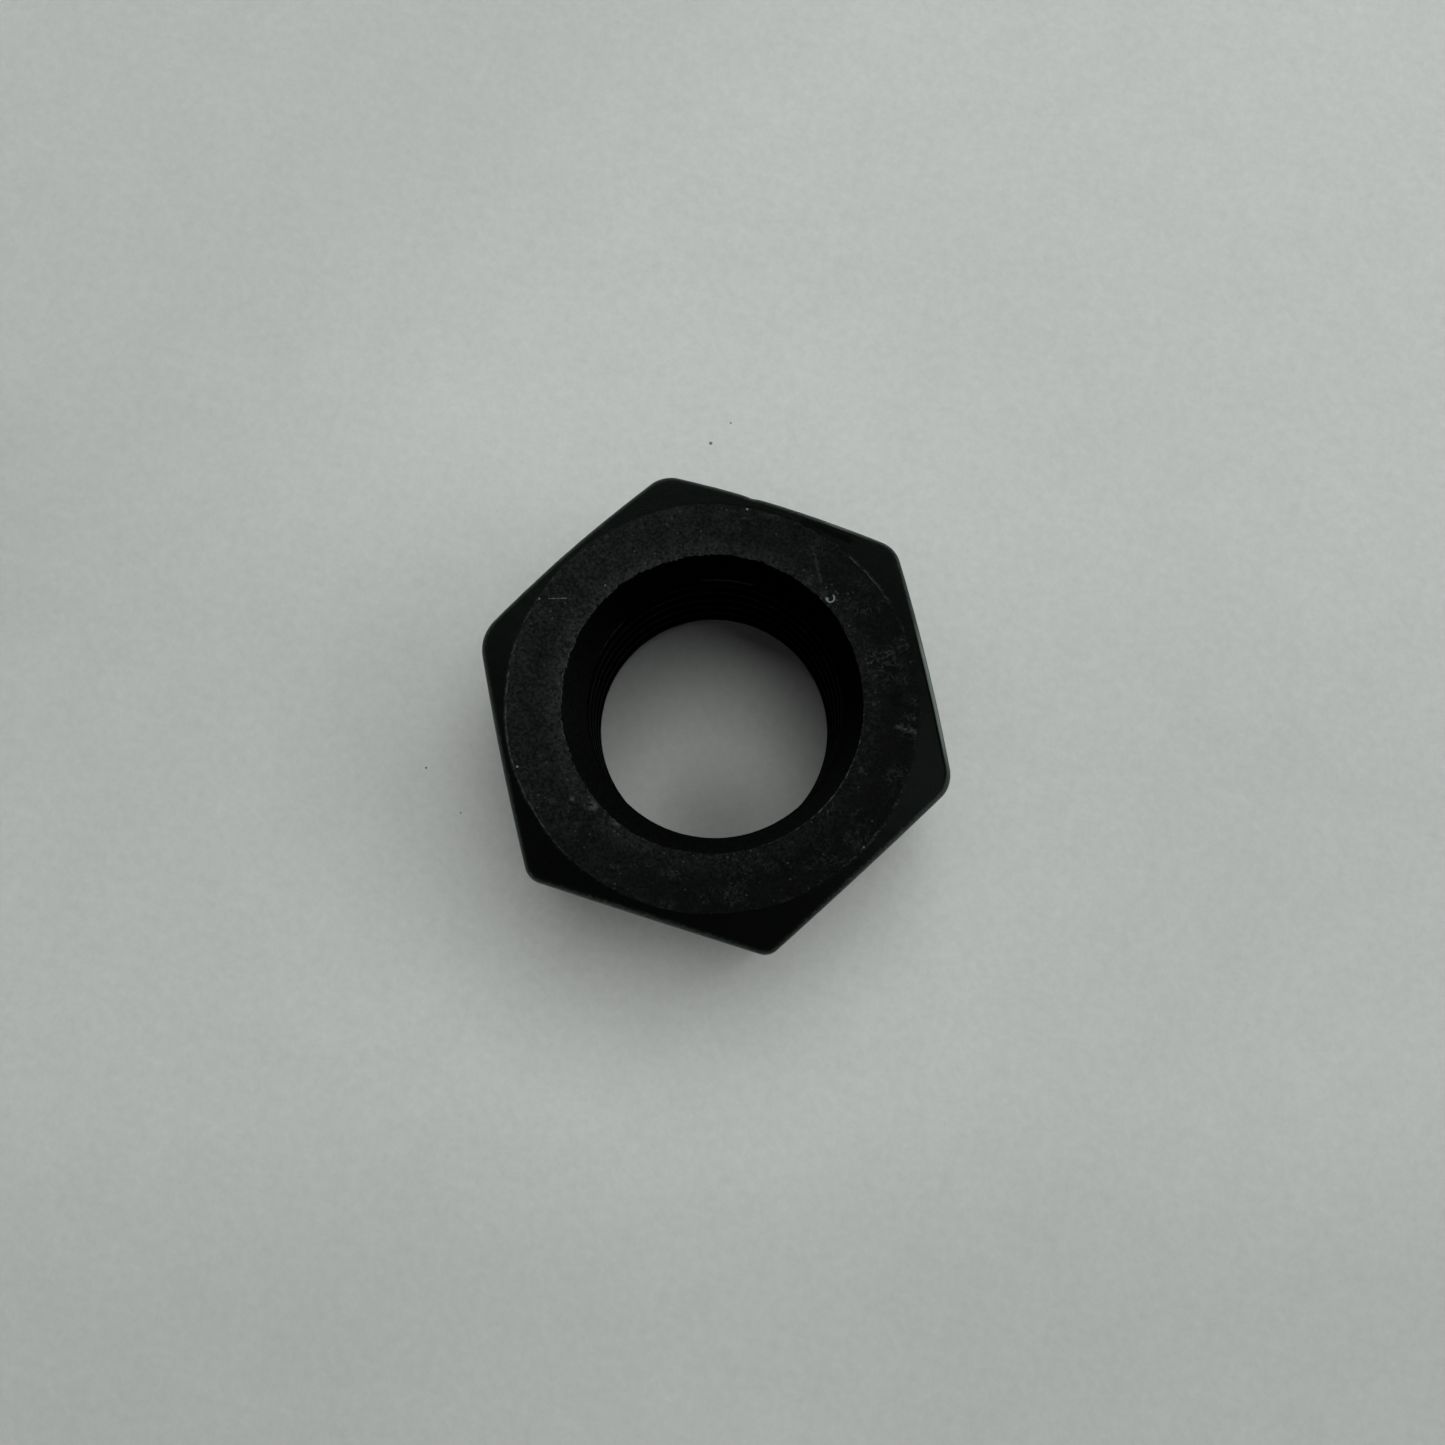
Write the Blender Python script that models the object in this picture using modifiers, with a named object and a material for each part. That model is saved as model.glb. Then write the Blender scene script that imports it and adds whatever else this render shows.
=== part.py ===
"""Large plain hex nut with a coarse metric thread, forged and turned from one piece of steel.

Metres, +Z up along the thread's axis. The origin is the centre of the lower bearing face, the
corners lie along +X and -X, and two of the flats face +Y and -Y. The nut is a hexagonal bar with
rounded corners, kept only where it lies inside a turned blank, and then cut by a tap.
"""

import math

import bmesh
import bpy
from mathutils import Matrix

# Driving dimensions
ACROSS_FLATS = 0.046
HEIGHT = 0.024
CORNER_RADIUS = 0.002
CHAMFER_CIRCLE_DIAMETER = 0.0434
CHAMFER_ANGLE = math.radians(30)
MOUTH_DIAMETER = 0.0316
MOUTH_ANGLE = math.radians(45)
THREAD_DIAMETER = 0.030
THREAD_PITCH = 0.0035
THREAD_CREST_DIAMETER = 0.0268

# Metric thread form: a 60 degree groove whose floor is an eighth of the pitch wide
FLANK_ANGLE = math.radians(30)
THREAD_ROOT_WIDTH = THREAD_PITCH / 8

# Where round the axis the thread's groove starts
THREAD_START_ANGLE = math.radians(75)

# How finely the round shapes are divided
BLANK_STEPS = 120
TAP_STEPS = 60
CORNER_SEGMENTS = 6

# How far a cutting shape reaches past the nut, and the gap below which vertices are one
OVERLAP = 0.004
WELD_DISTANCE = 0.000001

# The finish
OXIDE_COLOUR = (0.012, 0.0125, 0.013, 1.0)
OXIDE_ROUGHNESS = 0.42
OXIDE_METALLIC = 0.75
SHARP_ANGLE = math.radians(25)

corner_distance = ACROSS_FLATS / 2 / math.cos(math.pi / 6)
crest_radius = THREAD_CREST_DIAMETER / 2
thread_radius = THREAD_DIAMETER / 2


def clear_scene():
    """Removes the objects that the scene starts with."""
    for item in list(bpy.data.objects):
        bpy.data.objects.remove(item, do_unlink=True)


def new_collection(name):
    """An empty collection in the scene."""
    collection = bpy.data.collections.new(name)
    bpy.context.scene.collection.children.link(collection)
    return collection


def new_object(name, shape, collection):
    """An object with the mesh of the bmesh, which is freed."""
    mesh = bpy.data.meshes.new(name)
    shape.to_mesh(mesh)
    shape.free()
    made = bpy.data.objects.new(name, mesh)
    collection.objects.link(made)
    return made


def evaluated_mesh(item):
    """A new mesh of the object with its modifiers applied."""
    bpy.context.view_layer.update()
    graph = bpy.context.evaluated_depsgraph_get()
    return bpy.data.meshes.new_from_object(item.evaluated_get(graph))


def profile_object(name, points, closed, collection):
    """A line through (radius, height) points in the XZ plane, for a Screw modifier to turn."""
    shape = bmesh.new()
    corners = [shape.verts.new((radius, 0, height)) for radius, height in points]
    for first, second in zip(corners, corners[1:]):
        shape.edges.new((first, second))
    if closed:
        shape.edges.new((corners[-1], corners[0]))
    return new_object(name, shape, collection)


def add_screw(item, steps):
    """A Screw modifier that turns the object's profile once round Z."""
    screw = item.modifiers.new("Turn", "SCREW")
    screw.steps = steps
    screw.render_steps = steps
    screw.merge_threshold = WELD_DISTANCE
    return screw


def add_boolean(item, other, operation):
    """A Boolean with a helper object, which is drawn as lines and left out of a render."""
    boolean = item.modifiers.new(other.name, "BOOLEAN")
    boolean.operation = operation
    boolean.solver = "EXACT"
    boolean.object = other
    other.hide_render = True
    other.display_type = "WIRE"


def hexagonal_bar(collection):
    """A hexagonal prism with rounded upright corners, a little taller than the nut."""
    shape = bmesh.new()
    bmesh.ops.create_cone(
        shape,
        cap_ends=True,
        segments=6,
        radius1=corner_distance,
        radius2=corner_distance,
        depth=HEIGHT + 2 * OVERLAP,
        matrix=Matrix.Translation((0, 0, HEIGHT / 2)) @ Matrix.Rotation(math.radians(30), 4, "Z"),
    )
    upright = [e for e in shape.edges if abs(e.verts[0].co.z - e.verts[1].co.z) > HEIGHT]
    # The width of the bevel is the length from the sharp corner to the end of its round.
    bmesh.ops.bevel(
        shape,
        geom=upright,
        offset=CORNER_RADIUS * math.tan(math.pi / 6),
        offset_type="OFFSET",
        segments=CORNER_SEGMENTS,
        profile=0.5,
        affect="EDGES",
    )
    return new_object("hex_nut", shape, collection)


def turned_blank(collection):
    """A ring with both bearing faces, both outer chamfers and both countersunk mouths.

    Its bore is narrower than the thread's crests, so that the tap cuts the whole of the bore.
    """
    chamfer_radius = CHAMFER_CIRCLE_DIAMETER / 2
    outer_radius = corner_distance + OVERLAP
    chamfer_drop = (outer_radius - chamfer_radius) * math.tan(CHAMFER_ANGLE)
    mouth_radius = MOUTH_DIAMETER / 2
    bore_radius = crest_radius - OVERLAP / 2
    mouth_drop = (mouth_radius - bore_radius) / math.tan(MOUTH_ANGLE)
    outline = [
        (chamfer_radius, HEIGHT),
        (outer_radius, HEIGHT - chamfer_drop),
        (outer_radius, chamfer_drop),
        (chamfer_radius, 0),
        (mouth_radius, 0),
        (bore_radius, mouth_drop),
        (bore_radius, HEIGHT - mouth_drop),
        (mouth_radius, HEIGHT),
    ]
    blank = profile_object("turned_blank", outline, True, collection)
    add_screw(blank, BLANK_STEPS).use_merge_vertices = True
    return blank


def close_with_fans(shape):
    """Closes each open end of a screw with triangles that meet on the axis."""
    middle = sum(vertex.co.z for vertex in shape.verts) / len(shape.verts)
    open_edges = [edge for edge in shape.edges if edge.is_boundary]
    lower_rim = [edge for edge in open_edges if edge.verts[0].co.z < middle]
    upper_rim = [edge for edge in open_edges if edge.verts[0].co.z > middle]
    # Seen from its own outermost level, an end's rim is star shaped.
    for rim, outermost in ((lower_rim, min), (upper_rim, max)):
        level = outermost(vertex.co.z for edge in rim for vertex in edge.verts)
        centre = shape.verts.new((0, 0, level))
        for edge in rim:
            shape.faces.new((*edge.verts, centre))
    bmesh.ops.recalc_face_normals(shape, faces=shape.faces)


def tap(collection):
    """A solid right-hand screw that leaves the nut's thread where it passes through.

    One pitch of its outline runs down from crest to root and back, and the Screw modifier raises
    it one pitch a turn, so that each turn meets the next.
    """
    groove_depth = thread_radius - crest_radius
    flank_height = groove_depth * math.tan(FLANK_ANGLE)
    crest_width = THREAD_PITCH - THREAD_ROOT_WIDTH - 2 * flank_height
    outline = [
        (crest_radius, THREAD_PITCH),
        (crest_radius, THREAD_PITCH - crest_width),
        (thread_radius, flank_height + THREAD_ROOT_WIDTH),
        (thread_radius, flank_height),
        (crest_radius, 0),
    ]
    cutter = profile_object("tap", outline, False, collection)
    screw = add_screw(cutter, TAP_STEPS)
    screw.screw_offset = THREAD_PITCH
    screw.iterations = math.ceil((HEIGHT + 2 * OVERLAP) / THREAD_PITCH)

    shape = bmesh.new()
    shape.from_mesh(evaluated_mesh(cutter))
    bmesh.ops.remove_doubles(shape, verts=shape.verts, dist=WELD_DISTANCE)
    close_with_fans(shape)
    shape.to_mesh(cutter.data)
    shape.free()
    cutter.modifiers.clear()
    cutter.location.z = -OVERLAP
    cutter.rotation_euler.z = THREAD_START_ANGLE
    return cutter


def black_oxide():
    """Steel with a black oxide finish."""
    material = bpy.data.materials.new("black_oxide")
    material.use_nodes = True
    shader = material.node_tree.nodes["Principled BSDF"]
    shader.inputs["Base Color"].default_value = OXIDE_COLOUR
    shader.inputs["Roughness"].default_value = OXIDE_ROUGHNESS
    shader.inputs["Metallic"].default_value = OXIDE_METALLIC
    return material


def hex_nut(parts, cutters):
    """The nut: the bar inside the blank, tapped, with its round faces shaded smooth."""
    nut = hexagonal_bar(parts)
    add_boolean(nut, turned_blank(cutters), "INTERSECT")
    add_boolean(nut, tap(cutters), "DIFFERENCE")
    nut.data = evaluated_mesh(nut)
    nut.modifiers.clear()
    nut.data.shade_smooth()
    nut.data.set_sharp_from_angle(angle=SHARP_ANGLE)
    nut.data.materials.clear()
    nut.data.materials.append(black_oxide())
    return nut


clear_scene()
hex_nut(new_collection("hex_nut"), new_collection("cutters"))
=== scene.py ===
import math

import bmesh
import bpy
import numpy as np
from mathutils import Matrix, Vector


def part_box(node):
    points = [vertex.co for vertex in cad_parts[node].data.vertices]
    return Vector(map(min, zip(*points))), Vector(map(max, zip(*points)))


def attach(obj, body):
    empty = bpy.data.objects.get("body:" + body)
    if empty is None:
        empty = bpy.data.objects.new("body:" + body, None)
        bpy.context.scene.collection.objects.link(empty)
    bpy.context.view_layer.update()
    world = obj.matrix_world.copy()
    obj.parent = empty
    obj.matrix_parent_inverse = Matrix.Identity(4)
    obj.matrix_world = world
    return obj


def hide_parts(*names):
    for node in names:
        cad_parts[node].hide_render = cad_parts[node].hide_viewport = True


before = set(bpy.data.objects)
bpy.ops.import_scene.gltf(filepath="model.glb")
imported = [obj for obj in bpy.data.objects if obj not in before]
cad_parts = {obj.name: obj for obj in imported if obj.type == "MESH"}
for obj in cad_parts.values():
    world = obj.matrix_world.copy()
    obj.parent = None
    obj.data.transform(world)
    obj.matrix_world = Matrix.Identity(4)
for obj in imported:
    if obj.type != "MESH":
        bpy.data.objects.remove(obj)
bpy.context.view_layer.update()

# A large black oxide hex nut lying on a pale table. The nut is one piece, made again here in fine
# detail in the place of the CAD node: its height and width are those of the node's own box.

MM = 0.001

nut_low, nut_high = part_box("hex_nut")
HEIGHT = nut_high.z - nut_low.z
FLAT_DISTANCE = (nut_high.y - nut_low.y) / 2

# The hexagon's corners, anticlockwise from +X, and the turned shapes
CORNER_RADII = np.array((3.2, 2.8, 3.0, 4.0, 2.2, 1.8)) * MM
CHAMFER_CIRCLE_RADIUS = 21.6 * MM
CHAMFER_SLOPE = math.radians(30)
MOUTH_RADIUS = 15.71 * MM
MOUTH_SLOPE = math.radians(45)

# The thread
THREAD_PITCH = 3.5 * MM
THREAD_RADIUS = 15.0 * MM
CREST_RADIUS = 13.52 * MM
CREST_ROUND = 0.10 * MM
CREST_BAND = 0.15 * MM
ROOT_HALF_WIDTH = THREAD_PITCH / 16
THREAD_FLANK = math.radians(30)
THREAD_START = math.radians(75)

# What a real nut adds: a chamfer and a countersink turned a little off centre, and soft edges
CHAMFER_CENTRE = (-0.31 * MM, 0.01 * MM)
MOUTH_CENTRE = (-0.35 * MM, 0.31 * MM)
RIM_ROUND = 0.14 * MM
CHAMFER_CIRCLE_ROUND = 0.5 * MM
SHOULDER_ROUND = 1.5 * MM

# Wear: chips in the mouth's rim, most on one side, a nick in one shoulder, and bare corners
CHIP_DEPTH = 0.15 * MM
ROUGH_RIM_ANGLE = math.radians(165)
NICK_DEPTH = 0.15 * MM
NICK_ANGLE = math.radians(97.8)
NICK_WIDTH = math.radians(1.6)
CORNER_WEAR_WIDTH = math.radians(2.5)

# Seeds for the wear of each face
UPPER_SEED = 10
LOWER_SEED = 20

# How finely the surface is divided
COLUMNS = 440
CORNER_CROWDING = 0.45
RIM_STEPS = 4
CHAMFER_CIRCLE_STEPS = 4
SHOULDER_STEPS = 7
FACE_SHARES = (0.03, 0.1, 0.25, 0.42, 0.58, 0.75, 0.9, 0.97)
CONE_SHARES = (0.1, 0.3, 0.5, 0.7, 0.9)
FLAT_SHARES = (0.06, 0.16, 0.3, 0.45, 0.6, 0.75, 0.9)
WELD_DISTANCE = 0.0005 * MM
SHARP_ANGLE = math.radians(32)


def column_angles():
    """Angles once round the nut, closer together at the hexagon's corners."""
    even = np.linspace(0, 2 * math.pi, COLUMNS + 1)
    return even - CORNER_CROWDING * np.sin(6 * even) / 6


def uneven(angles, slowest, fastest, seed):
    """A smooth random curve once round the nut, mostly from -1 to 1, between two wave counts."""
    chance = np.random.RandomState(seed)
    waves = np.arange(slowest, fastest + 1)
    sizes = chance.normal(size=len(waves))
    phases = chance.uniform(0, 2 * math.pi, len(waves))
    curve = (sizes * np.sin(np.outer(angles, waves) + phases)).sum(axis=1)
    return curve / np.sqrt((sizes**2).sum())


def swell(angles, middle, width):
    """1 in one direction, falling smoothly to 0 away from it. Middle and width are in degrees."""
    from_middle = (angles - math.radians(middle) + math.pi) % (2 * math.pi) - math.pi
    return np.exp(-((from_middle / math.radians(width)) ** 2))


def hexagon_radius(angles):
    """How far the rounded hexagon's wall is from the axis in each direction."""
    from_flat = angles % (math.pi / 3) - math.pi / 6
    from_corner = math.pi / 6 - np.abs(from_flat)
    corner_radius = CORNER_RADII[np.round(angles / (math.pi / 3)).astype(int) % 6]
    round_centre = (FLAT_DISTANCE - corner_radius) / math.cos(math.pi / 6)
    inside = corner_radius**2 - (round_centre * np.sin(from_corner)) ** 2
    on_round = round_centre * np.cos(from_corner) + np.sqrt(np.maximum(inside, 0))
    flat_end = np.arctan((FLAT_DISTANCE - corner_radius) * math.tan(math.pi / 6) / FLAT_DISTANCE)
    return np.where(np.abs(from_flat) < flat_end, FLAT_DISTANCE / np.cos(from_flat), on_round)


def off_centre(centre, angles):
    """How much further out a circle round the centre is in each direction, seen from the axis."""
    x, y = centre
    return x * np.cos(angles) + y * np.sin(angles)


def chamfer_circle(angles, seed):
    """How far the chamfer's inner edge is from the nut's axis in each direction."""
    wobble = 0.05 * uneven(angles, 2, 12, seed + 2) + 0.035 * uneven(angles, 20, 80, seed + 3)
    return CHAMFER_CIRCLE_RADIUS + off_centre(CHAMFER_CENTRE, angles) + wobble * MM


def mouth_circle(angles):
    """The countersink's edge in each direction, a little out of round."""
    return MOUTH_RADIUS + off_centre(MOUTH_CENTRE, angles) + 0.05 * MM * uneven(angles, 2, 9, 5)


def rim_chips(angles, seed):
    """How far the mouth's rim is chipped away in each direction, most on one side."""
    rough_side = 0.5 - 0.5 * np.cos(angles - ROUGH_RIM_ANGLE + math.pi)
    ripple = (0.015 + 0.05 * rough_side) * uneven(angles, 14, 200, seed)
    ripple += 0.06 * rough_side * uneven(angles, 12, 50, seed + 7)
    chips = np.clip(uneven(angles, 20, 150, seed + 1) - 0.5, 0, 1.2)
    return (0.04 + ripple + 0.18 * rough_side * chips) * MM


def shoulder_nick(angles):
    """How deep the nick in the shoulder of one flat is, in each direction."""
    return NICK_DEPTH * np.exp(-(((angles - NICK_ANGLE) / NICK_WIDTH) ** 2))


# The next four say how worn an edge is in each direction. The material makes it bare in patches
# from about 0.3, polished above 1.3, and a painted shade line below 0.


def rim_wear(angles):
    """The mouth's rim."""
    return 0.62 + 0.35 * swell(angles, 185, 50) + 0.32 * swell(angles, -22, 30)


def circle_wear(angles):
    """The edge between the bearing face and the chamfer."""
    streak = 0.45 * swell(angles, 57, 20)
    return 0.5 + streak + 0.45 * swell(angles, 212, 42) + 0.35 * swell(angles, -22, 20)


def shoulder_wear_and_shade(angles, share):
    """The shoulder, from the chamfer at share 0 to the flat at 1.

    Where a spanner has rubbed, it is a painted shade line first and then a polished band.
    """
    spanner_rub_and_shade = swell(angles, 22, 24) + 0.6 * swell(angles, 74, 9)
    if share == 0:
        return 0.4 - 1.6 * spanner_rub_and_shade
    polish = 1.6 if share < 0.5 else 0.7
    return 0.62 + polish * spanner_rub_and_shade + 0.25 * swell(angles, -90, 25) + 0.25 * swell(angles, -30, 20)


def corner_wear(angles):
    """The upright corners."""
    from_corner = math.pi / 6 - np.abs(angles % (math.pi / 3) - math.pi / 6)
    return 0.95 * np.exp(-((from_corner / CORNER_WEAR_WIDTH) ** 2))


def outer_profile(angles, seed, nick):
    """Radii and depths below a bearing face, from the mouth out and down towards mid height.

    Each is an array of one row for each angle. The last array says how worn each point is; below 0
    it is painted shade.
    """
    radii, depths, wear_and_shade_values = [], [], []

    def add(radius, depth, wear_and_shade):
        for rows, values in ((radii, radius), (depths, depth), (wear_and_shade_values, wear_and_shade)):
            rows.append(np.broadcast_to(values, len(angles)))

    flat = hexagon_radius(angles)
    wall = flat - nick
    circle = chamfer_circle(angles, seed)
    mouth = mouth_circle(angles) + rim_chips(angles, seed)

    # The mouth's worn rim, from the countersink's slope to flat
    rim_tangent = RIM_ROUND * math.tan(MOUTH_SLOPE / 2)
    for step in range(RIM_STEPS + 1):
        slope = MOUTH_SLOPE * (1 - step / RIM_STEPS)
        radius = mouth + rim_tangent - RIM_ROUND * math.sin(slope)
        add(radius, RIM_ROUND * (1 - math.cos(slope)), rim_wear(angles))

    # The bearing face
    face_start = mouth + rim_tangent
    circle_tangent = CHAMFER_CIRCLE_ROUND * math.tan(CHAMFER_SLOPE / 2)
    face_end = circle - circle_tangent
    for share in FACE_SHARES:
        add(face_start + (face_end - face_start) * share, 0.0, 0.0)

    # The soft edge of the chamfer circle
    for step in range(CHAMFER_CIRCLE_STEPS + 1):
        slope = CHAMFER_SLOPE * step / CHAMFER_CIRCLE_STEPS
        radius = face_end + CHAMFER_CIRCLE_ROUND * math.sin(slope)
        add(radius, CHAMFER_CIRCLE_ROUND * (1 - math.cos(slope)), circle_wear(angles))

    # The chamfer's cone, as far as the shoulder's round
    cone_start = circle + circle_tangent * math.cos(CHAMFER_SLOPE)
    start_depth = circle_tangent * math.sin(CHAMFER_SLOPE)
    shoulder_tangent = SHOULDER_ROUND * math.tan((math.pi / 2 - CHAMFER_SLOPE) / 2)
    edge_depth = (wall - circle) * math.tan(CHAMFER_SLOPE)
    cone_end = wall - shoulder_tangent * math.cos(CHAMFER_SLOPE)
    end_depth = edge_depth - shoulder_tangent * math.sin(CHAMFER_SLOPE)
    for share in CONE_SHARES:
        radius = cone_start + (cone_end - cone_start) * share
        add(radius, start_depth + (end_depth - start_depth) * share, 0.0)

    # The shoulder between the chamfer and the flat
    for step in range(SHOULDER_STEPS + 1):
        slope = CHAMFER_SLOPE + (math.pi / 2 - CHAMFER_SLOPE) * step / SHOULDER_STEPS
        radius = wall - SHOULDER_ROUND * (1 - math.sin(slope))
        depth = edge_depth + shoulder_tangent - SHOULDER_ROUND * math.cos(slope)
        add(radius, depth, shoulder_wear_and_shade(angles, step / SHOULDER_STEPS))

    # The flat, down towards mid height, with the nick soon fading
    flat_start = edge_depth + shoulder_tangent
    for share in FLAT_SHARES:
        depth = flat_start + (HEIGHT / 2 - flat_start) * share
        add(flat - nick * (1 - share) ** 6, depth, corner_wear(angles))
    return [np.stack(rows, axis=1) for rows in (radii, depths, wear_and_shade_values)]


def thread_radius(height):
    """The thread's radius at each height above a groove's start, with rounded crests and roots."""
    from_root = np.abs((height / THREAD_PITCH) % 1 - 0.5) * THREAD_PITCH
    straight = THREAD_RADIUS - (from_root - ROOT_HALF_WIDTH) / math.tan(THREAD_FLANK)
    crest = CREST_RADIUS + CREST_ROUND * np.logaddexp(0, (straight - CREST_RADIUS) / CREST_ROUND)
    return THREAD_RADIUS - CREST_ROUND * np.logaddexp(0, (THREAD_RADIUS - crest) / CREST_ROUND)


def thread_rows():
    """Heights of the grid's rows within one pitch, closer together where the thread turns."""
    flank = (THREAD_RADIUS - CREST_RADIUS) * math.tan(THREAD_FLANK)
    root, crest = ROOT_HALF_WIDTH, ROOT_HALF_WIDTH + flank
    turn = 0.09 * MM
    half = [0, root, root + turn, root + 0.35 * flank, root + 0.7 * flank]
    half += [crest - turn, crest, crest + turn, crest + 0.3 * MM]
    middle = THREAD_PITCH / 2
    return sorted({middle - h for h in half} | {middle + h for h in half})


def bore_grid(angles):
    """Radii and heights of the bore's wall, and how near each point is to a crest.

    The rows climb with the thread, one pitch in a turn, so that the last column meets the first
    one a turn higher.
    """
    rows = np.array(thread_rows())
    turns = math.ceil(HEIGHT / THREAD_PITCH) + 2
    offsets = [rows + THREAD_PITCH * turn for turn in range(-1, turns)]
    offsets = np.concatenate(offsets) - THREAD_PITCH
    lift = THREAD_PITCH * angles[:, None] / (2 * math.pi)
    phase = THREAD_PITCH * THREAD_START / (2 * math.pi)
    rim_depth = RIM_ROUND * (1 - math.cos(MOUTH_SLOPE))
    heights = np.clip(offsets[None, :] + lift, rim_depth, HEIGHT - rim_depth)

    mouth = mouth_circle(angles)[:, None]
    chips = rim_chips(angles, UPPER_SEED)[:, None], rim_chips(angles, LOWER_SEED)[:, None]

    def cone(height):
        depth = np.minimum(height, HEIGHT - height)
        chip = np.where(height > HEIGHT / 2, *chips)
        fade = np.exp(-np.maximum(depth - rim_depth, 0) / CHIP_DEPTH)
        return mouth + chip * fade - depth / math.tan(MOUTH_SLOPE)

    def thread(height):
        return thread_radius(height - lift + phase)

    # Where the thread runs out into the countersink, the nearer row moves onto the crossing.
    gap = thread(heights) - cone(heights)
    below, above = gap[:, :-1], gap[:, 1:]
    share = below / np.where(below == above, 1, below - above)
    crossing = (below * above < 0) & (heights[:, :-1] < heights[:, 1:])
    place = heights[:, :-1] + share * (heights[:, 1:] - heights[:, :-1])
    moved = heights.copy()
    moved[:, :-1] = np.where(crossing & (share < 0.5), place, moved[:, :-1])
    moved[:, 1:] = np.where(crossing & (share >= 0.5), place, moved[:, 1:])
    radii = np.maximum(thread(moved), cone(moved))
    on_crest = np.exp(-(((radii - CREST_RADIUS) / CREST_BAND) ** 2))
    return radii, moved, on_crest


def add_grid(shape, radii, heights, angles, layers):
    """Adds a grid of points and its faces to the bmesh.

    There is a row of radii and heights for each angle. Each layer has a value for each point.
    """
    x = radii * np.cos(angles)[:, None]
    y = radii * np.sin(angles)[:, None]
    grid = np.stack([x, y, heights], axis=2)
    columns, rows = radii.shape
    corners = []
    for column in range(columns):
        line = []
        for row in range(rows):
            vertex = shape.verts.new(grid[column, row])
            for layer, values in layers:
                vertex[layer] = values[column, row]
            line.append(vertex)
        corners.append(line)
    for here, after in zip(corners, corners[1:]):
        for row in range(rows - 1):
            shape.faces.new((here[row], after[row], after[row + 1], here[row + 1]))


def detailed_nut():
    """The whole nut as one closed mesh."""
    angles = column_angles()
    shape = bmesh.new()
    turned = shape.verts.layers.float.new("turned_face")
    wear_and_shade = shape.verts.layers.float.new("edge_wear_and_shade")
    threaded = shape.verts.layers.float.new("bore")
    forged = shape.verts.layers.float.new("forged_flat")

    # The outside, from the upper mouth down to the lower one
    upper_radii, upper_depths, wear_and_shade_values = outer_profile(angles, UPPER_SEED, shoulder_nick(angles))
    lower_radii, lower_depths, _ = outer_profile(angles, LOWER_SEED, 0)
    radii = np.concatenate([upper_radii, lower_radii[:, ::-1]], axis=1)
    heights = np.concatenate([HEIGHT - upper_depths, lower_depths[:, ::-1]], axis=1)
    wear_and_shade_values = np.concatenate([wear_and_shade_values, wear_and_shade_values[:, ::-1]], axis=1)
    face = (np.minimum(heights, HEIGHT - heights) < WELD_DISTANCE).astype(float)
    flat = (radii > hexagon_radius(angles)[:, None] - NICK_DEPTH).astype(float)
    add_grid(shape, radii, heights, angles, [(turned, face), (wear_and_shade, wear_and_shade_values), (forged, flat)])

    # The bore
    radii, heights, crest = bore_grid(angles)
    add_grid(shape, radii, heights, angles, [(threaded, np.ones_like(crest)), (wear_and_shade, crest * 0.5)])

    bmesh.ops.remove_doubles(shape, verts=shape.verts, dist=WELD_DISTANCE)
    bmesh.ops.dissolve_degenerate(shape, edges=shape.edges, dist=WELD_DISTANCE)
    bmesh.ops.recalc_face_normals(shape, faces=shape.faces)
    mesh = bpy.data.meshes.new("nut_body")
    shape.to_mesh(mesh)
    shape.free()
    mesh.shade_smooth()
    mesh.set_sharp_from_angle(angle=SHARP_ANGLE)
    body = bpy.data.objects.new("nut_body", mesh)
    bpy.context.scene.collection.objects.link(body)
    body.location = (nut_low + nut_high) / 2 - Vector((0, 0, HEIGHT / 2))
    return body


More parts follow.
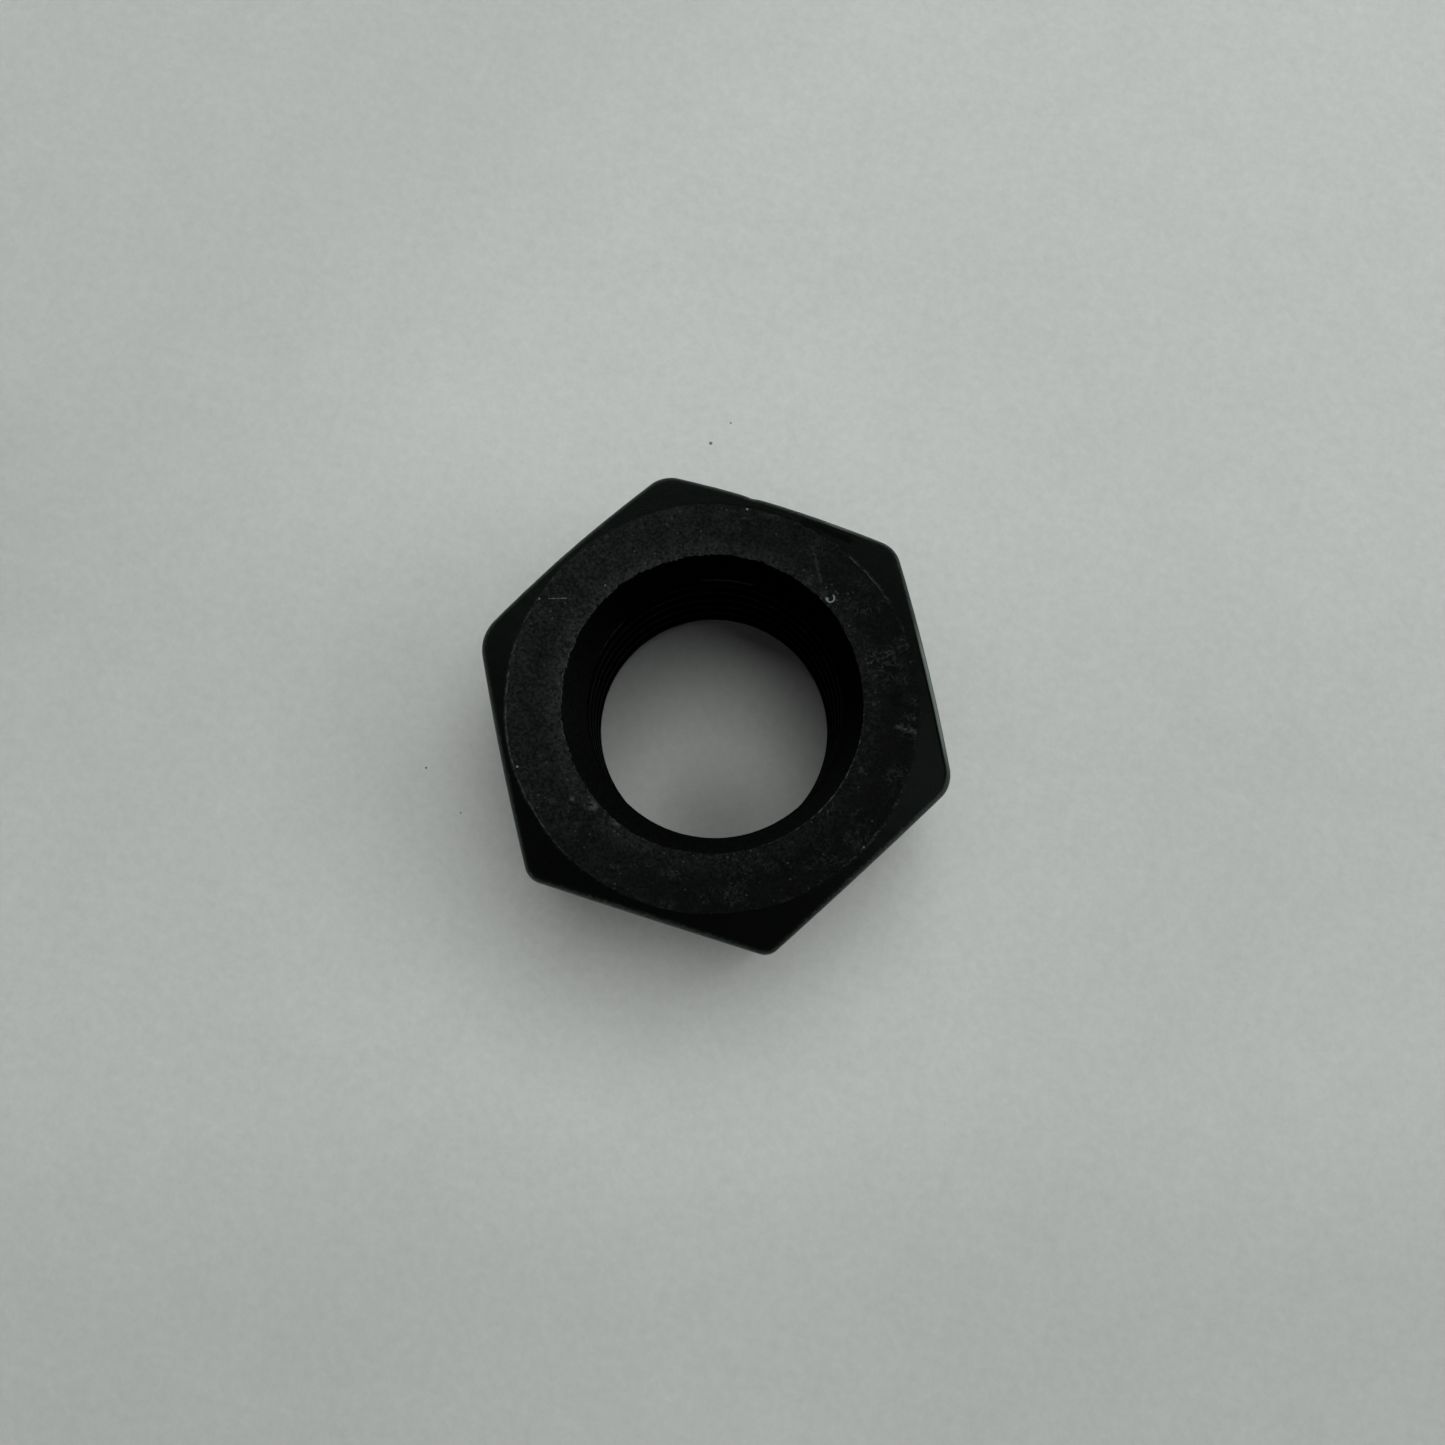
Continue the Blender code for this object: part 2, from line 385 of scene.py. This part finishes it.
class Graph:
    """A material's or the world's node tree, with short ways to add the nodes used here.

    An input may be a number or another node's output.
    """

    def __init__(self, tree):
        self.tree = tree

    def put(self, socket, value):
        """Links the value to the socket, or sets it there."""
        if isinstance(value, bpy.types.NodeSocket):
            self.tree.links.new(value, socket)
        else:
            socket.default_value = value

    def add(self, kind, *values, **settings):
        """A node with its settings, and its first inputs in order."""
        node = self.tree.nodes.new(kind)
        for name, value in settings.items():
            setattr(node, name, value)
        for socket, value in zip(node.inputs, values):
            self.put(socket, value)
        return node

    def attribute(self, name):
        """A number kept on the mesh's vertices."""
        return self.add("ShaderNodeAttribute", attribute_name=name).outputs["Fac"]

    def object_place(self):
        """The place in the object's own coordinates, in metres."""
        return self.add("ShaderNodeTexCoord").outputs["Object"]

    def math(self, operation, *values):
        """A number worked out from one or two others."""
        return self.add("ShaderNodeMath", *values, operation=operation).outputs[0]

    def times(self, first, *others):
        """The product of any number of values."""
        for other in others:
            first = self.math("MULTIPLY", first, other)
        return first

    def sum(self, first, *others):
        """The sum of any number of values."""
        for other in others:
            first = self.math("ADD", first, other)
        return first

    def without(self, mask):
        """One less the mask."""
        return self.math("SUBTRACT", 1.0, mask)

    def either(self, first, second):
        """The larger of two masks."""
        return self.math("MAXIMUM", first, second)

    def spread(self, value, low, high, start=0.0, end=1.0):
        """A soft step: start below low, end above high."""
        step = self.add(
            "ShaderNodeMapRange", value, low, high, start, end, interpolation_type="SMOOTHSTEP"
        )
        return step.outputs["Result"]

    def mix(self, factor, first, second):
        """From first to second, as numbers."""
        node = self.add("ShaderNodeMix", factor)
        self.put(node.inputs["A"], first)
        self.put(node.inputs["B"], second)
        return node.outputs["Result"]

    def stretch(self, place, scale, shift=(0, 0, 0)):
        """The place scaled along each axis, then moved."""
        return self.add("ShaderNodeMapping", place, shift, (0, 0, 0), scale).outputs[0]

    def noise(self, place, scale, detail=3.0, roughness=0.55, distortion=0.0):
        """Noise from about 0 to 1. Scale is in cycles a unit of the place."""
        node = self.add("ShaderNodeTexNoise")
        self.put(node.inputs["Vector"], place)
        self.put(node.inputs["Scale"], scale)
        self.put(node.inputs["Detail"], detail)
        self.put(node.inputs["Roughness"], roughness)
        self.put(node.inputs["Distortion"], distortion)
        return node.outputs[0]

    def cells(self, place, scale):
        """Distance to the nearest of a field of scattered points."""
        node = self.add("ShaderNodeTexVoronoi")
        self.put(node.inputs["Vector"], place)
        self.put(node.inputs["Scale"], scale)
        return node.outputs["Distance"]

    def bump(self, height, depth, normal=None):
        """A normal for a height in the given depth, on top of another normal."""
        node = self.add("ShaderNodeBump")
        self.put(node.inputs["Distance"], depth)
        self.put(node.inputs["Height"], height)
        if normal is not None:
            self.put(node.inputs["Normal"], normal)
        return node.outputs[0]

    def separate(self, vector):
        """The vector's x, y and z."""
        return self.add("ShaderNodeSeparateXYZ", vector).outputs

    def tinted(self, tone, tint):
        """A colour of the tone, each part times the tint's."""
        parts = [self.times(tone, part) for part in tint]
        return self.add("ShaderNodeCombineColor", *parts).outputs[0]

    def measure(self, operation, *vectors):
        """A number worked out from vectors."""
        return self.add("ShaderNodeVectorMath", *vectors, operation=operation).outputs["Value"]

    def from_axis(self, x, y):
        """The distance from the Z axis."""
        return self.math("SQRT", self.sum(self.times(x, x), self.times(y, y)))

    def along(self, x, y, angle):
        """How far the place lies in a direction round the Z axis."""
        return self.sum(self.times(x, math.cos(angle)), self.times(y, math.sin(angle)))

    def band(self, value, middle, outer, inner):
        """1 within the inner distance of the middle value and 0 past the outer one."""
        from_middle = self.math("ABSOLUTE", self.math("SUBTRACT", value, middle))
        return self.spread(from_middle, outer, inner)

    def near_point(self, place, centre, inner, outer):
        """1 within the inner distance of the centre and 0 past the outer one."""
        return self.spread(self.measure("DISTANCE", place, centre), outer, inner)

    def near_line(self, place, start, end, inner, outer):
        """1 within the inner distance of a straight line and 0 past the outer one."""
        start, end = Vector(start), Vector(end)
        along = end - start
        from_start = self.add("ShaderNodeVectorMath", place, start, operation="SUBTRACT")
        from_start = from_start.outputs["Vector"]
        share = self.measure("DOT_PRODUCT", from_start, along / along.length_squared)
        share = self.math("MINIMUM", self.math("MAXIMUM", share, 0.0), 1.0)
        nearest = self.add("ShaderNodeVectorMath", along, operation="SCALE")
        self.put(nearest.inputs["Scale"], share)
        from_line = self.measure("DISTANCE", from_start, nearest.outputs["Vector"])
        return self.spread(from_line, outer, inner)


def new_material(name):
    """A material and the graph and shader in it."""
    material = bpy.data.materials.new(name)
    material.use_nodes = True
    graph = Graph(material.node_tree)
    return material, graph, material.node_tree.nodes["Principled BSDF"]


# The nut's finish. Directions are angles round the axis, and distances are in millimetres.

# The side of the upper face painted in shade, and the side of the bore painted lightest
SHADED_FACE_SIDE = math.radians(-15)
BORE_LIT_SIDE = math.radians(265)

# Places on the upper face, each an angle in degrees and a distance from the axis
PIT_CLUSTER = (98, 19.2)
SCRATCH = ((164.6, 20.9), (161.5, 19.4))
LONG_RUB = ((76.4, 19.9), (67.7, 17.4))
SHORT_RUBS = (((11.0, 19.0), (10.3, 21.0)), ((10.3, 21.0), (5.7, 21.6)))
SCUFFED_PATCH = (31.0, 18.4)
BURR = (61.1, 16.71)
BURR_OPENING = (62.5, 16.9)
SHADED_DENT = (-119.7, 17.1)

# Bruises and bright specks on it, each an angle, a distance and a size
BRUISES = ((-122.7, 16.3, 0.8), (-112.4, 15.6, 0.8), (-129.2, 17.6, 0.4))
SPECKS = (
    (61.7, 16.4, 0.24),
    (166.0, 21.7, 0.12),
    (149.7, 17.3, 0.10),
    (-145.1, 21.4, 0.16),
    (-26.1, 21.2, 0.16),
    (-28.8, 22.3, 0.16),
    (98.5, 21.4, 0.16),
)

# Painted shade of a hollow along the upper chamfer, which the mesh does not have
CHAMFER_HOLLOW_SHADE = ((81.6, 22.0), (69.5, 23.0))

# Painted highlights where the thread runs out into the countersink: the middle and half width in
# degrees and the distance from the axis, and the heights between which they begin
BORE_HIGHLIGHT_ARCS = ((102, 13, 13.95), (163, 11, 13.6))
BORE_HIGHLIGHT_HEIGHTS = (20.8, 21.2)

# Tones, as shares of the light sent back
BLACK = 0.001
HOLLOW_SHADE_TONE = 0.002
LONG_RUB_TONE = 0.028
SCUFF_TONE = 0.035
BRUISE_TONE = 0.045
FAINT_MARK_AND_HIGHLIGHT_TONE = 0.05
BARE_TONE = 0.07
FLAT_RUB_TONE = 0.10
BRIGHT_MARK_TONE = 0.16
POLISHED_TONE = 0.32
OXIDE_TINT = (0.92, 1.03, 0.98)


def on_face(angle, distance):
    """The point at an angle in degrees and a distance in mm from the axis, on the upper face."""
    turn = math.radians(angle)
    return distance * math.cos(turn), distance * math.sin(turn), HEIGHT / MM


def on_chamfer(angle, distance):
    """The point at an angle in degrees and a distance in mm from the axis, on the upper chamfer."""
    x, y, height = on_face(angle, distance)
    return x, y, height - (distance - CHAMFER_CIRCLE_RADIUS / MM) * math.tan(CHAMFER_SLOPE)


class NutFields:
    """What the nut's finish is worked out from: places in mm, zones from 0 to 1, and noises."""

    def __init__(self, graph):
        self.place = graph.stretch(graph.object_place(), (1 / MM, 1 / MM, 1 / MM))
        self.x, self.y, self.z = graph.separate(self.place)
        self.radius = graph.from_axis(self.x, self.y)

        self.face = graph.attribute("turned_face")
        self.wear_and_shade = graph.attribute("edge_wear_and_shade")
        self.bore = graph.attribute("bore")
        self.flat = graph.attribute("forged_flat")
        self.near_bore = graph.spread(self.radius, 18.5, 16.0)

        self.grains = graph.noise(self.place, 2.8, 4.0, 0.75)
        self.scale = graph.noise(self.place, 2.4, 5.0, 0.7)
        self.satin = graph.noise(graph.stretch(self.place, (1, 1, 0.35)), 6.0, 4.0, 0.8)
        self.ridges = graph.noise(self.place, 1.0, 4.0, 0.65, 0.6)
        self.breaks = graph.noise(self.place, 1.9, 4.0, 0.75)
        blotches = graph.noise(self.place, 0.6, 3.0, 0.6)
        self.mottling = graph.sum(graph.times(blotches, 0.2), graph.times(self.grains, 0.8))


def dark_pits(graph, nut):
    """Pits in the turned faces, in clusters, with the deepest cluster on the upper face."""
    clusters = graph.spread(graph.noise(nut.place, 0.22, 2.0), 0.45, 0.62)
    deepest = graph.near_point(nut.place, on_face(*PIT_CLUSTER), 0.5, 3.2)
    clusters = graph.either(graph.times(clusters, 0.5), deepest)
    pits = graph.spread(graph.noise(nut.place, 1.5, 3.0, 0.6), 0.53, 0.62)
    return graph.times(pits, clusters, nut.face)


def face_oxide(graph, nut, pits):
    """The turned faces' grey: mottled, lighter towards the bore, with pits, wisps and specks."""
    grey = graph.spread(nut.mottling, 0.38, 0.66, 0.001, 0.0155)
    # Painted light and shade: lighter on one side of the face, darker towards the shaded side
    across = graph.along(nut.x, nut.y, SHADED_FACE_SIDE)
    face_light_and_shade = graph.spread(across, -22.0, 14.0, 1.2, 0.24)
    grey = graph.times(grey, face_light_and_shade, graph.sum(0.7, graph.times(nut.near_bore, 0.7)))
    grey = graph.mix(graph.times(pits, 0.8), grey, BLACK)

    # Thin wisps in patches, and small faint specks, most of both near the bore
    patches = graph.noise(graph.stretch(nut.place, (1, 1, 1), (31, 7, 3)), 0.3, 2.0)
    patches = graph.either(graph.spread(patches, 0.48, 0.66), graph.times(nut.near_bore, 0.6))
    wisps = graph.times(graph.band(nut.ridges, 0.5, 0.025, 0.0), patches)
    grey = graph.mix(graph.times(wisps, 0.55), grey, SCUFF_TONE)
    specks = graph.spread(graph.cells(nut.place, 1.4), 0.22, 0.08)
    few = graph.sum(graph.noise(nut.place, 0.8, 2.0), graph.times(nut.near_bore, 0.06))
    specks = graph.times(specks, graph.spread(few, 0.52, 0.60), 0.6)
    return graph.mix(specks, grey, FAINT_MARK_AND_HIGHLIGHT_TONE)


def with_upper_marks(graph, nut, grey):
    """The grey with the marks that the upper face has picked up, and painted shade in a dent."""
    # A long rub and a scuffed patch
    long_rub = graph.near_line(nut.place, *(on_face(*end) for end in LONG_RUB), 0.0, 0.28)
    long_rub = graph.times(long_rub, graph.spread(nut.grains, 0.35, 0.55), 0.6)
    grey = graph.mix(long_rub, grey, LONG_RUB_TONE)
    scuff = graph.near_point(nut.place, on_face(*SCUFFED_PATCH), 0.6, 3.0)
    scuff = graph.times(scuff, graph.band(nut.ridges, 0.5, 0.032, 0.0), 0.65)
    grey = graph.mix(scuff, grey, SCUFF_TONE)

    # The bright ones: a scratch, a burr like an open ring, and specks
    scratch = graph.near_line(nut.place, *(on_face(*end) for end in SCRATCH), 0.0, 0.085)
    grit = graph.spread(graph.noise(nut.place, 6.0, 2.0, 0.6), 0.42, 0.55, 0.15, 0.8)
    from_burr = graph.measure("DISTANCE", nut.place, on_face(*BURR))
    opening = graph.near_point(nut.place, on_face(*BURR_OPENING), 0.35, 0.55)
    burr = graph.times(graph.band(from_burr, 0.42, 0.13, 0.03), graph.without(opening))
    bright = graph.either(graph.times(scratch, grit), burr)
    for angle, distance, size in SPECKS:
        speck = graph.near_point(nut.place, on_face(angle, distance), size * 0.4, size)
        bright = graph.either(bright, speck)
    grey = graph.mix(bright, grey, BRIGHT_MARK_TONE)

    # Short rubs, painted shade in a dent, and the bruises round it
    for start, end in SHORT_RUBS:
        rub = graph.near_line(nut.place, on_face(*start), on_face(*end), 0.0, 0.4)
        grey = graph.mix(graph.times(rub, graph.spread(nut.grains, 0.42, 0.58)), grey, SCUFF_TONE)
    # Painted shade in a dent
    dent_shade = graph.near_point(nut.place, on_face(*SHADED_DENT), 0.4, 1.2)
    dent_shade = graph.times(dent_shade, graph.spread(nut.grains, 0.4, 0.55, 1.0, 0.5))
    grey = graph.mix(dent_shade, grey, BLACK)
    for angle, distance, size in BRUISES:
        bruise = graph.near_point(nut.place, on_face(angle, distance), size * 0.2, size)
        bruise = graph.times(bruise, graph.spread(nut.grains, 0.38, 0.55))
        grey = graph.mix(bruise, grey, BRUISE_TONE)
    return grey


def flat_oxide(graph, nut):
    """The forged flats: satin, with broad stains and a few light rubs that run upwards."""
    satin = graph.spread(nut.satin, 0.3, 0.7, 0.018, 0.048)
    stains = graph.spread(graph.noise(nut.place, 0.25, 4.0, 0.6), 0.35, 0.7, 0.0, 0.022)
    rubs = graph.noise(graph.stretch(nut.place, (1, 1, 0.12)), 1.6, 3.0, 0.7)
    rubs = graph.times(graph.spread(rubs, 0.62, 0.74), 0.5)
    return graph.mix(rubs, graph.sum(satin, stains), FLAT_RUB_TONE)


def bore_light_and_shade(graph, nut):
    """The bore's painted light and shade: lightest on one side, and a little darker below the
    countersink.
    """
    side = graph.math("DIVIDE", graph.along(nut.x, nut.y, BORE_LIT_SIDE), nut.radius)
    return graph.times(graph.spread(side, -1.0, 0.7), graph.spread(nut.z, 19.0, 22.0, 0.6, 1.0))


def with_painted_bore_highlights(graph, nut, colour):
    """The colour with painted highlights where the thread runs out."""
    for middle, half_width, distance in BORE_HIGHLIGHT_ARCS:
        side = graph.along(nut.x, nut.y, math.radians(middle))
        edge = math.cos(math.radians(half_width))
        highlight_arc = graph.times(
            graph.spread(graph.math("DIVIDE", side, nut.radius), edge, edge + 0.012),
            graph.band(nut.radius, distance, 0.12, 0.03),
            graph.spread(nut.z, *BORE_HIGHLIGHT_HEIGHTS),
            graph.spread(nut.breaks, 0.35, 0.5),
            nut.bore,
        )
        # Painted highlight along the arc
        colour = graph.mix(highlight_arc, colour, FAINT_MARK_AND_HIGHLIGHT_TONE)
    return colour


def with_wear_and_shade(graph, nut, bore_light, colour):
    """The colour with painted shade lines, bare patches on worn edges, and polished bands."""
    # Painted shade: below 0 an edge is painted black
    colour = graph.mix(graph.spread(nut.wear_and_shade, -0.1, -0.5), colour, BLACK)
    bare = graph.spread(graph.sum(nut.wear_and_shade, graph.times(nut.breaks, 2.0)), 1.65, 2.15)
    # On the bore, bare crests fade where the bore is painted shade
    crest_light_and_shade = graph.spread(bore_light, 0.0, 0.5, 0.02, 0.85)
    bare = graph.times(bare, graph.mix(nut.bore, 0.85, crest_light_and_shade))
    colour = graph.mix(bare, colour, BARE_TONE)
    return graph.mix(graph.spread(nut.wear_and_shade, 1.3, 2.0), colour, POLISHED_TONE)


def black_oxide():
    """Black oxide on turned and forged steel, with pits, scuffs and worn edges.

    The bearing faces scatter light. The chamfers, flats and bore are smoother, and shine more than
    they scatter.
    """
    material, graph, shader = new_material("black_oxide")
    nut = NutFields(graph)
    pits = dark_pits(graph, nut)
    bore_light = bore_light_and_shade(graph, nut)

    face_tone = with_upper_marks(graph, nut, face_oxide(graph, nut, pits))
    chamfer_tone = graph.spread(nut.scale, 0.35, 0.7, 0.0145, 0.0175)
    colour = graph.mix(nut.face, chamfer_tone, face_tone)
    # Painted shade of a hollow along the upper chamfer
    hollow_shade = graph.near_line(nut.place, *(on_chamfer(*end) for end in CHAMFER_HOLLOW_SHADE), 0.25, 0.8)
    colour = graph.mix(graph.times(hollow_shade, 0.85), colour, HOLLOW_SHADE_TONE)
    colour = graph.mix(nut.flat, colour, flat_oxide(graph, nut))
    # The bore's mottled tone times its painted light and shade
    bore_tone_and_light = graph.times(bore_light, graph.spread(nut.scale, 0.35, 0.65, 0.013, 0.024))
    colour = graph.mix(nut.bore, colour, graph.sum(BLACK, bore_tone_and_light))
    colour = with_painted_bore_highlights(graph, nut, colour)
    colour = with_wear_and_shade(graph, nut, bore_light, colour)
    graph.put(shader.inputs["Base Color"], graph.tinted(colour, OXIDE_TINT))
    graph.put(shader.inputs["Metallic"], graph.without(nut.face))

    rough = graph.spread(nut.grains, 0.3, 0.7, 0.33, 0.40)
    rough = graph.mix(nut.face, rough, graph.spread(nut.mottling, 0.38, 0.62, 0.62, 0.5))
    rough = graph.mix(nut.flat, rough, graph.spread(nut.satin, 0.3, 0.7, 0.50, 0.38))
    rough = graph.mix(nut.bore, rough, graph.mix(bore_light, 1.0, 0.6))
    graph.put(shader.inputs["Roughness"], rough)
    shader.inputs["IOR"].default_value = 1.45
    shader.inputs["Specular IOR Level"].default_value = 0.18
    shader.inputs["Specular Tint"].default_value = (0.92, 1.0, 0.96, 1.0)

    normal = graph.bump(graph.noise(nut.place, 5.0, 4.0, 0.7), 0.02 * MM)
    normal = graph.bump(graph.times(nut.flat, nut.satin), 0.05 * MM, normal)
    normal = graph.bump(nut.grains, 0.05 * MM, normal)
    normal = graph.bump(graph.times(pits, -1.0), 0.06 * MM, normal)
    graph.put(shader.inputs["Normal"], normal)
    return material


# The table ends before the light over it fades. It has painted light and shade towards some
# sides, as direction, the distances in metres between which it changes, and the change.
TABLE_RADIUS = 0.5
TABLE_SIDE_LIGHT_AND_SHADE = (
    (math.radians(205), 0.0, 0.07, -0.02),
    (math.radians(150), 0.05, 0.09, -0.08),
    (math.radians(100), 0.0, 0.04, 0.06),
    (math.radians(17), 0.0, 0.04, -0.03),
    (math.radians(287), 0.04, 0.07, -0.09),
)

# A painted shade beside the nut and a painted shade under its bore: centre, inner and outer radius
# in metres, and the change. Then grains of dust: x, y and size in mm.
SHADE = ((-22 * MM, -12 * MM, 0), 0.012, 0.034, -0.10)
BORE_SHADE = ((3.5 * MM, -12 * MM, 0), 0.001, 0.013, -0.45)
DUST = ((-11.7, 35.0, 0.28), (-10.1, 38.3, 0.16), (-32.2, -14.6, 0.18), (-26.4, -18.5, 0.14))
DUST_CHANGE = -0.75


def pale_table():
    """A pale painted table, slightly uneven in tone, with a fine grain, a little dust, and painted
    light and shade.
    """
    material, graph, shader = new_material("pale_table")
    place = graph.object_place()
    x, y, _ = graph.separate(place)
    from_axis = graph.from_axis(x, y)
    cloud = graph.noise(place, 9.0, 3.0, 0.5)
    grain = graph.noise(place, 800.0, 5.0, 0.8)
    fibres = graph.noise(place, 140.0, 4.0, 0.8)
    tone = graph.spread(cloud, 0.3, 0.7, 0.467, 0.492)
    tone = graph.sum(tone, graph.times(grain, 0.20), graph.times(fibres, 0.08))

    # Painted light round the nut, painted shade inside its bore, painted light and shade to the
    # sides
    tone = graph.times(tone, graph.spread(from_axis, 0.03, 0.07, 1.05, 0.95))
    tone = graph.times(tone, graph.spread(from_axis, 0.012, 0.020, 0.95, 1.0))
    for direction, start, end, change in TABLE_SIDE_LIGHT_AND_SHADE:
        along = graph.along(x, y, direction)
        tone = graph.times(tone, graph.spread(along, start, end, 1.0, 1.0 + change))

    # Painted shade beside the nut and under its bore, then grains of dust
    shade_and_dust_spots = [SHADE, BORE_SHADE]
    for dust_x, dust_y, size in DUST:
        shade_and_dust_spots.append(((dust_x * MM, dust_y * MM, 0), size / 2 * MM, size * MM, DUST_CHANGE))
    for centre, inner, outer, change in shade_and_dust_spots:
        shade_and_dust_spot = graph.near_point(place, centre, inner, outer)
        tone = graph.times(tone, graph.sum(1.0, graph.times(shade_and_dust_spot, change)))

    graph.put(shader.inputs["Base Color"], tone)
    shader.inputs["Roughness"].default_value = 0.9
    shader.inputs["Specular IOR Level"].default_value = 0.0
    graph.put(shader.inputs["Normal"], graph.bump(grain, 0.02 * MM))
    return material


def add_table():
    """The table under the nut."""
    bpy.ops.mesh.primitive_circle_add(
        vertices=96, radius=TABLE_RADIUS, fill_type="NGON", location=(0, 0, nut_low.z)
    )
    table = bpy.context.object
    table.name = "table"
    table.data.materials.append(pale_table())
    return table


# The camera, above and a little to the front of the nut. The direction at the angle round the axis
# is upwards in the picture.
CAMERA_PLACE = Vector((5.73, -18.65, 158.98)) * MM
CAMERA_AIM = Vector((1.26, -1.41, 24.0)) * MM
CAMERA_UP_ANGLE = math.radians(107.645)
LENS = 32.64
SENSOR = 36.0


def add_camera():
    """The camera, which the scene then uses."""
    data = bpy.data.cameras.new("camera")
    data.lens = LENS
    data.sensor_width = SENSOR
    data.clip_start = 0.005
    data.clip_end = 20
    camera = bpy.data.objects.new("camera", data)
    bpy.context.scene.collection.objects.link(camera)
    forward = (CAMERA_AIM - CAMERA_PLACE).normalized()
    hint = Vector((math.cos(CAMERA_UP_ANGLE), math.sin(CAMERA_UP_ANGLE), 0))
    right = forward.cross(hint).normalized()
    up = right.cross(forward)
    turn = Matrix((right, up, -forward)).transposed().to_4x4()
    camera.matrix_world = Matrix.Translation(CAMERA_PLACE) @ turn
    bpy.context.scene.camera = camera


# The daylight's slightly green cast, and how far the area lights are from the nut in metres
LIGHT_COLOUR = (0.955, 1.0, 0.96)
LIGHT_DISTANCE = 0.80


def towards(azimuth, elevation):
    """The direction at an azimuth round the axis from +X and an elevation, in degrees."""
    a, e = math.radians(azimuth), math.radians(elevation)
    return Vector((math.cos(a) * math.cos(e), math.sin(a) * math.cos(e), math.sin(e)))


def area_light(name, azimuth, elevation, size, power, mirrored=True, scattered=True):
    """A square soft light aimed at the nut.

    It can be left out of reflections or of scattered light. Size is in metres and power in watts.
    """
    data = bpy.data.lights.new(name, "AREA")
    data.shape = "SQUARE"
    data.size = size
    data.energy = power
    data.color = LIGHT_COLOUR
    light = bpy.data.objects.new(name, data)
    bpy.context.scene.collection.objects.link(light)
    away = towards(azimuth, elevation)
    light.location = away * LIGHT_DISTANCE
    light.rotation_mode = "QUATERNION"
    light.rotation_quaternion = away.to_track_quat("Z", "Y")
    light.visible_camera = False
    light.visible_glossy = mirrored
    light.visible_diffuse = scattered


# The room's light, by height and by how far round it is from the window. Heights are the upward
# part of the direction, from 0 level to 1 straight up.
WALL_LIGHT = 0.75
CEILING_LIGHT = 0.03
REFLECTED_LOW = 0.04
REFLECTED_MIDDLE = 0.15
REFLECTED_HIGH = 0.06
WINDOW_ANGLE = math.radians(50)
BACKDROP_LOW = 0.42
BACKDROP_HIGH = 0.40


def room_light():
    """A dim room, lighter low down and towards the window, with a pale backdrop for the camera."""
    world = bpy.data.worlds.new("room")
    world.use_nodes = True
    graph = Graph(world.node_tree)
    direction = graph.add("ShaderNodeTexCoord").outputs["Generated"]
    x, y, z = graph.separate(direction)
    window = graph.along(x, y, WINDOW_ANGLE)
    walls = graph.spread(z, 0.45, 0.9, WALL_LIGHT, CEILING_LIGHT)
    walls = graph.times(walls, graph.spread(window, -1.0, 1.0, 0.8, 1.2))
    reflected = graph.mix(graph.spread(z, 0.10, 0.45), REFLECTED_LOW, REFLECTED_MIDDLE)
    reflected = graph.mix(graph.spread(z, 0.6, 0.95), reflected, REFLECTED_HIGH)
    reflected = graph.times(reflected, graph.spread(window, -1.0, 1.0, 0.42, 1.1))
    backdrop = graph.spread(z, 0.0, 0.35, BACKDROP_LOW, BACKDROP_HIGH)
    rays = graph.add("ShaderNodeLightPath").outputs
    light = graph.mix(rays["Is Glossy Ray"], walls, reflected)
    light = graph.mix(rays["Is Camera Ray"], light, backdrop)
    background = world.node_tree.nodes["Background"]
    graph.put(background.inputs["Color"], graph.tinted(light, LIGHT_COLOUR))
    background.inputs["Strength"].default_value = 1.0
    bpy.context.scene.world = world


nut_body = detailed_nut()
nut_body.data.materials.append(black_oxide())
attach(nut_body, "root")
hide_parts("hex_nut")

table = add_table()

add_camera()
area_light("key", 82, 66, 0.64, 3.40, mirrored=False)
area_light("window", 6, 32, 0.35, 0.37)
area_light("sheen", 152, 55, 0.40, 0.9, scattered=False)
room_light()
bpy.context.scene.view_settings.view_transform = "Standard"
